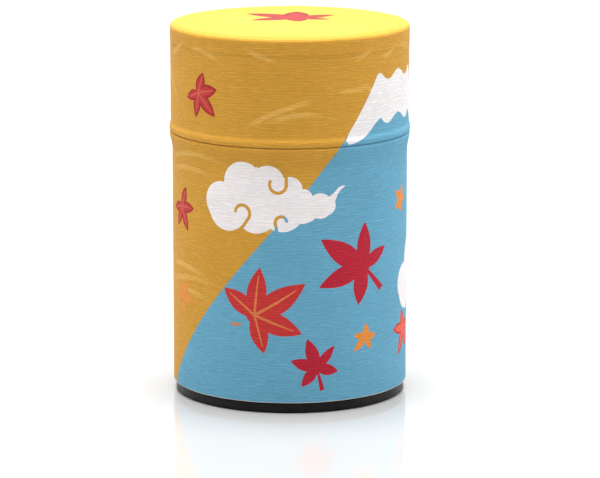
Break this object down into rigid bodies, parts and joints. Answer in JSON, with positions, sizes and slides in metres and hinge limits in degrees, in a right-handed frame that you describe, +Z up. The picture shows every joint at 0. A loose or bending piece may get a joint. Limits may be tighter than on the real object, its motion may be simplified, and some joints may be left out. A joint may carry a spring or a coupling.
{
  "type": "tea caddy",
  "caption": "Round tinplate tea caddy wrapped in printed washi paper, with a slip-over outer lid, a knobbed inner lid and a black seamed foot.",
  "frame": {"origin": "centre of the foot, on the surface that the caddy stands on", "axes": "+Z up along the caddy's axis; -Y is the side that faces the viewer, +X its right"},
  "size_m": [0.0758, 0.0758, 0.1175],
  "materials": {
    "tinplate": "bright tinplate, lightly brushed",
    "black_lacquered_tin": "satin black lacquer",
    "washi_body": "matt washi with fine horizontal wrinkles, printed sky blue and gold",
    "washi_lid": "matt washi with fine horizontal wrinkles, printed gold",
    "washi_top": "matt washi, printed yellow",
    "knob_metal": "turned and plated",
    "rivet_metal": "plated steel"
  },
  "bodies": {
    "canister": {"body_shell": "tinplate", "bottom_end": "black_lacquered_tin", "body_paper": "washi_body"},
    "outer_lid": {"lid_band": "tinplate", "lid_top_cap": "tinplate", "lid_side_paper": "washi_lid", "lid_top_paper": "washi_top"},
    "inner_lid": {"inner_lid_pan": "tinplate", "inner_lid_knob": "knob_metal", "knob_rivet": "rivet_metal", "rivet_washer": "rivet_metal"}
  },
  "joints": [
    {"name": "lid_lift", "type": "slide", "parent": "canister", "child": "outer_lid", "axis": [0, 0, 1], "range_m": [0, 0.08]},
    {"name": "inner_lid_lift", "type": "slide", "parent": "canister", "child": "inner_lid", "axis": [0, 0, 1], "range_m": [0, 0.04]}
  ],
  "couplings": [
    {"joint": "inner_lid_lift", "follows": "lid_lift", "ratio": 0.5}
  ]
}
